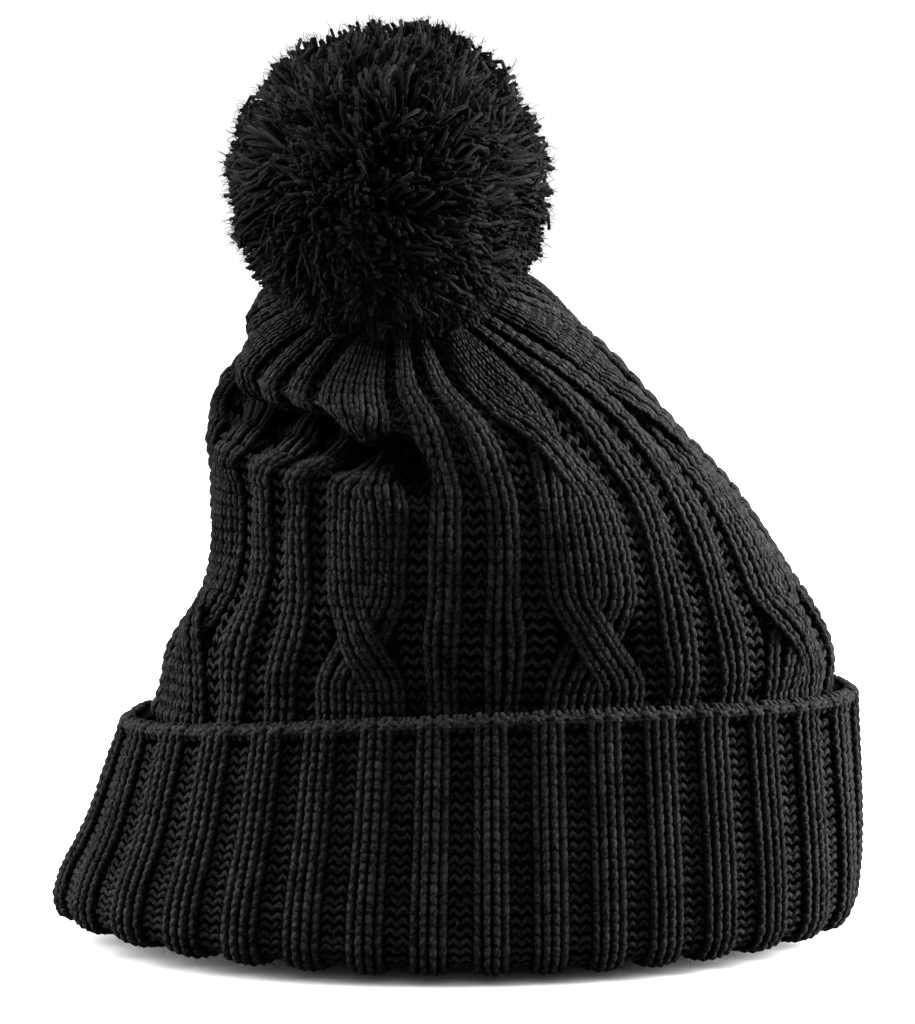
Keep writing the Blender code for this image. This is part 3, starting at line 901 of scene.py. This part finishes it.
def pompom_strands(name, count, seed, flowing):
    """Strands from the binding out to the ball. A flowing one first heads for the front or the back,
    and then lies outward along the ball. The others go straight out."""
    rng = np.random.default_rng(seed)
    z = 1 - 2 * (np.arange(count) + 0.5) / count
    spin = np.arange(count) * math.pi * (3 - math.sqrt(5)) + seed
    level = np.sqrt(1 - z * z)
    ends = np.stack((level * np.cos(spin), level * np.sin(spin), z), -1)
    ends = unit(ends + 0.10 * drift(ends, 3, 9, 5.0) + 0.05 * drift(ends, 4, 12, 14.0)
                + rng.normal(0, 0.035, ends.shape))
    parting = unit(np.array((0.04, -1.0, -0.02)) + 0.34 * drift(ends, 5, 8, 2.2)
                   + rng.normal(0, 0.14, ends.shape))
    facing = np.sum(ends * parting, -1)[:, None]
    side = np.where(facing > -0.15, 1.0, -1.0)
    flows = rng.random(count)[:, None] < flowing * (0.3 + 0.9 * np.abs(facing))
    turned = np.where(flows, rng.uniform(0.7, 2.6, (count, 1)), rng.uniform(0.0, 0.4, (count, 1)))
    roots = unit(ends + turned * side * parting)
    reach = BALL_RADIUS * (1.0 + rng.normal(0, 0.022, count) + np.where(rng.random(count) < 0.02, 0.04, 0.0))
    t = np.linspace(0, 1, 6)[None, :, None]
    way = unit(roots[:, None] * (1 - t) + ends[:, None] * t)
    swell = np.where(flows, rng.uniform(1.5, 2.8, (count, 1)), 1.1)[:, None]
    out = BINDING_RADIUS + (reach[:, None, None] - BINDING_RADIUS) * (1 - (1 - t) ** swell)
    points = BALL_MIDDLE + way * out
    points = points + 1.5 * t * drift(points * 0.08, 6, 10, 3.4)
    curl = rng.normal(0, 1, (count, 1, 3))
    points = points + 1.1 * curl * t * np.sin(math.pi * t * rng.uniform(0.6, 1.6, (count, 1, 1)))
    tip = rng.normal(0, 1, (count, 1, 3)) + drift(ends, 7, 8, 9.0)[:, None]
    points = points + 1.0 * tip * t**4
    points[..., 2] -= 1.6 * t[..., 0] ** 3 * np.abs(rng.normal(0, 1, (count, 1)))
    away = points - BALL_MIDDLE
    longest = LONGEST_STRAND + rng.normal(0, 0.7, (count, 1, 1))
    points = BALL_MIDDLE + away * np.minimum(1.0, longest / np.linalg.norm(away, axis=-1, keepdims=True))
    points = above_crown(points, 3.2 + rng.uniform(0, 2.5, (count, 1)))
    lift = unit(np.cross(points[:, -1] - points[:, 0], rng.normal(size=(count, 3))))[:, None]
    thick = POMPOM_YARN * rng.normal(1, 0.07, (count, 1)) * np.array((0.8, 1.0, 1.0, 1.0, 1.05, 1.12))
    # Painted shade deep in the ball at each strand's root, fading outward, and a little painted light at its
    # cut tip.
    made = yarn_mesh(name, points, thick, np.broadcast_to(lift, points.shape), pompom_yarn,
                     painted_shading=(-1.3, -1.0, -0.6, -0.3, -0.1, 0.1))
    return made, points


pompom_outer, outer_paths = pompom_strands("pompom_strands_flowing", 3100, 21, 0.8)
pompom_inner, inner_paths = pompom_strands("pompom_strands_straight", 3100, 22, 0.2)
pompom_mixed, mixed_paths = pompom_strands("pompom_strands_mixed", 2600, 24, 0.5)
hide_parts("pompom_yarn")


def frayed_ends(name, paths):
    """Fine fibres that stand where each strand was cut."""
    rng = np.random.default_rng(23)
    tips = paths[:, -1]
    ways = unit(paths[:, -1] - paths[:, -3])
    ways = unit(ways + rng.normal(0, 0.42, ways.shape))
    aside = rng.normal(0, 0.32, ways.shape)
    t = np.array((-0.5, 0.45, 1.0))[None, :, None]
    length = rng.uniform(1.0, 2.6, (len(tips), 1, 1))
    points = tips[:, None] + aside[:, None] + length * t * ways[:, None]
    points = points + rng.normal(0, 0.25, points.shape)
    thick = rng.uniform(0.07, 0.12, (len(tips), 1)) * np.array((1.0, 0.9, 0.5))
    return yarn_mesh(name, points, thick, unit(rng.normal(size=points.shape)), pompom_yarn, sides=3)


pompom_fray = frayed_ends("pompom_frayed_ends", np.concatenate((outer_paths, inner_paths, mixed_paths)))

# An uneven heart of packed yarn closes the gaps between the strands. It is drawn near-black, as painted shade
# for the ball's deep inside.
bpy.ops.object.select_all(action="DESELECT")
bpy.ops.mesh.primitive_ico_sphere_add(subdivisions=5, radius=0.031, location=(0, 0, 0))
pompom_core = bpy.context.object
pompom_core.name = "pompom_heart"
core = np.empty(len(pompom_core.data.vertices) * 3)
pompom_core.data.vertices.foreach_get("co", core)
core = core.reshape(-1, 3) / MM
lumps = np.sin(core[:, :1] * 1.1) * np.sin(core[:, 1:2] * 1.3 + core[:, 2:] * 0.9)
core = above_crown(BALL_MIDDLE + core * (0.93 + 0.07 * lumps), 4.0)
pompom_core.data.vertices.foreach_set("co", (core * MM).ravel())
pompom_core.data.shade_smooth()
pompom_core.data.materials.append(painted_shade_yarn)
for piece in (pompom_outer, pompom_inner, pompom_mixed, pompom_fray, pompom_core):
    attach(piece, "pompom")

# -----------------------------------------------------------------------------
# Loose fibres stand off the knitting and catch the light along its edges.

fibre = black_yarn("loose_black_fibres", "#101012", "#2a2a2d", bump_mm=0.02)


def loose_fibres(name, count, surface, rows, seed, longest):
    rng = np.random.default_rng(seed)
    share = rng.uniform(-0.5, 0.5, count)
    row = rng.uniform(*rows, count)
    root, normal = surface(share, row, rng.uniform(-0.6, 0.9, count))
    way = unit(0.7 * normal + rng.normal(0, 0.75, normal.shape))
    curl = unit(rng.normal(size=normal.shape))
    t = np.array((0.0, 0.5, 1.0))[None, :, None]
    length = (longest * rng.beta(1.4, 3.4, count))[:, None, None]
    points = root[:, None] + length * (way[:, None] * t + 0.4 * curl[:, None] * t * t)
    thick = rng.uniform(0.045, 0.075, (count, 1)) * np.array((1.0, 0.85, 0.4))
    made = yarn_mesh(name, points, thick, np.broadcast_to(curl[:, None], points.shape), fibre, sides=3)
    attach(made, "hat")
    return made


crown_fibres = loose_fibres("crown_loose_fibres", 9500, on_crown, (17.5, CROWN_ROWS - 3),
                            31, 4.2)
cuff_fibres = loose_fibres("cuff_loose_fibres", 8500, on_cuff, (2.5, CUFF_ROWS - 1), 32, 4.0)

# -----------------------------------------------------------------------------
# A white studio. The floor and the surround look white but bounce little light, so the hat's
# underside stays dark. A broad sun stands above, a little behind, and a soft lamp at each side.

bpy.ops.object.select_all(action="DESELECT")
bpy.ops.mesh.primitive_plane_add(size=12, location=(0, 0, -0.0004))
floor = bpy.context.object
floor.name = "studio_floor"
floor_paint = bpy.data.materials.new("white_floor")
floor_paint.use_nodes = True
paper = floor_paint.node_tree
seen = node(paper, "ShaderNodeLightPath")
paper_white = node(paper, "ShaderNodeMix", {"data_type": "RGBA"}, Factor=seen.outputs["Is Camera Ray"])
paper_white.inputs["A"].default_value = linear("#505050")
paper_white.inputs["B"].default_value = linear("#f9f9f9")
paper.links.new(paper_white.outputs["Result"], paper.nodes["Principled BSDF"].inputs["Base Color"])
paper.nodes["Principled BSDF"].inputs["Roughness"].default_value = 0.9
floor.data.materials.append(floor_paint)

surround = bpy.data.worlds.new("white_surround")
bpy.context.scene.world = surround
surround.use_nodes = True
sky = surround.node_tree
sky.nodes.clear()
seen = node(sky, "ShaderNodeLightPath")
facing = node(sky, "ShaderNodeTexCoord")
upward = node(sky, "ShaderNodeSeparateXYZ", Vector=facing.outputs["Generated"])
above = node(sky, "ShaderNodeMath", {"operation": "MAXIMUM"}, i0=upward.outputs[2], i1=0.0)
glow = node(sky, "ShaderNodeMath", {"operation": "MULTIPLY_ADD"}, i0=above.outputs[0], i1=1.05, i2=0.08)
strength = node(sky, "ShaderNodeMath", {"operation": "MAXIMUM"}, i0=glow.outputs[0],
                i1=seen.outputs["Is Camera Ray"])
white = node(sky, "ShaderNodeBackground", None, Color=(1, 1, 1, 1), Strength=strength.outputs[0])
node(sky, "ShaderNodeOutputWorld", None, Surface=white.outputs[0])
bpy.context.scene.view_settings.view_transform = "Standard"

overhead = bpy.data.lights.new("overhead", "SUN")
overhead.energy = 4.1
overhead.angle = math.radians(60)
sun = bpy.data.objects.new("overhead", overhead)
sun.rotation_euler = Vector((0.25, -0.35, -1.0)).to_track_quat("-Z", "Y").to_euler()
bpy.context.scene.collection.objects.link(sun)


def soft_light(name, place, power):
    lamp = bpy.data.lights.new(name, "AREA")
    lamp.shape = "RECTANGLE"
    lamp.size = 0.6
    lamp.size_y = 0.8
    lamp.energy = power
    made = bpy.data.objects.new(name, lamp)
    made.location = place
    made.rotation_euler = (Vector((0, 0, 0.12)) - made.location).to_track_quat("-Z", "Y").to_euler()
    bpy.context.scene.collection.objects.link(made)


soft_light("light_left", (-1.1, 0.0, 0.5), 33.0)
soft_light("light_right", (1.1, 0.03, 0.5), 74.0)
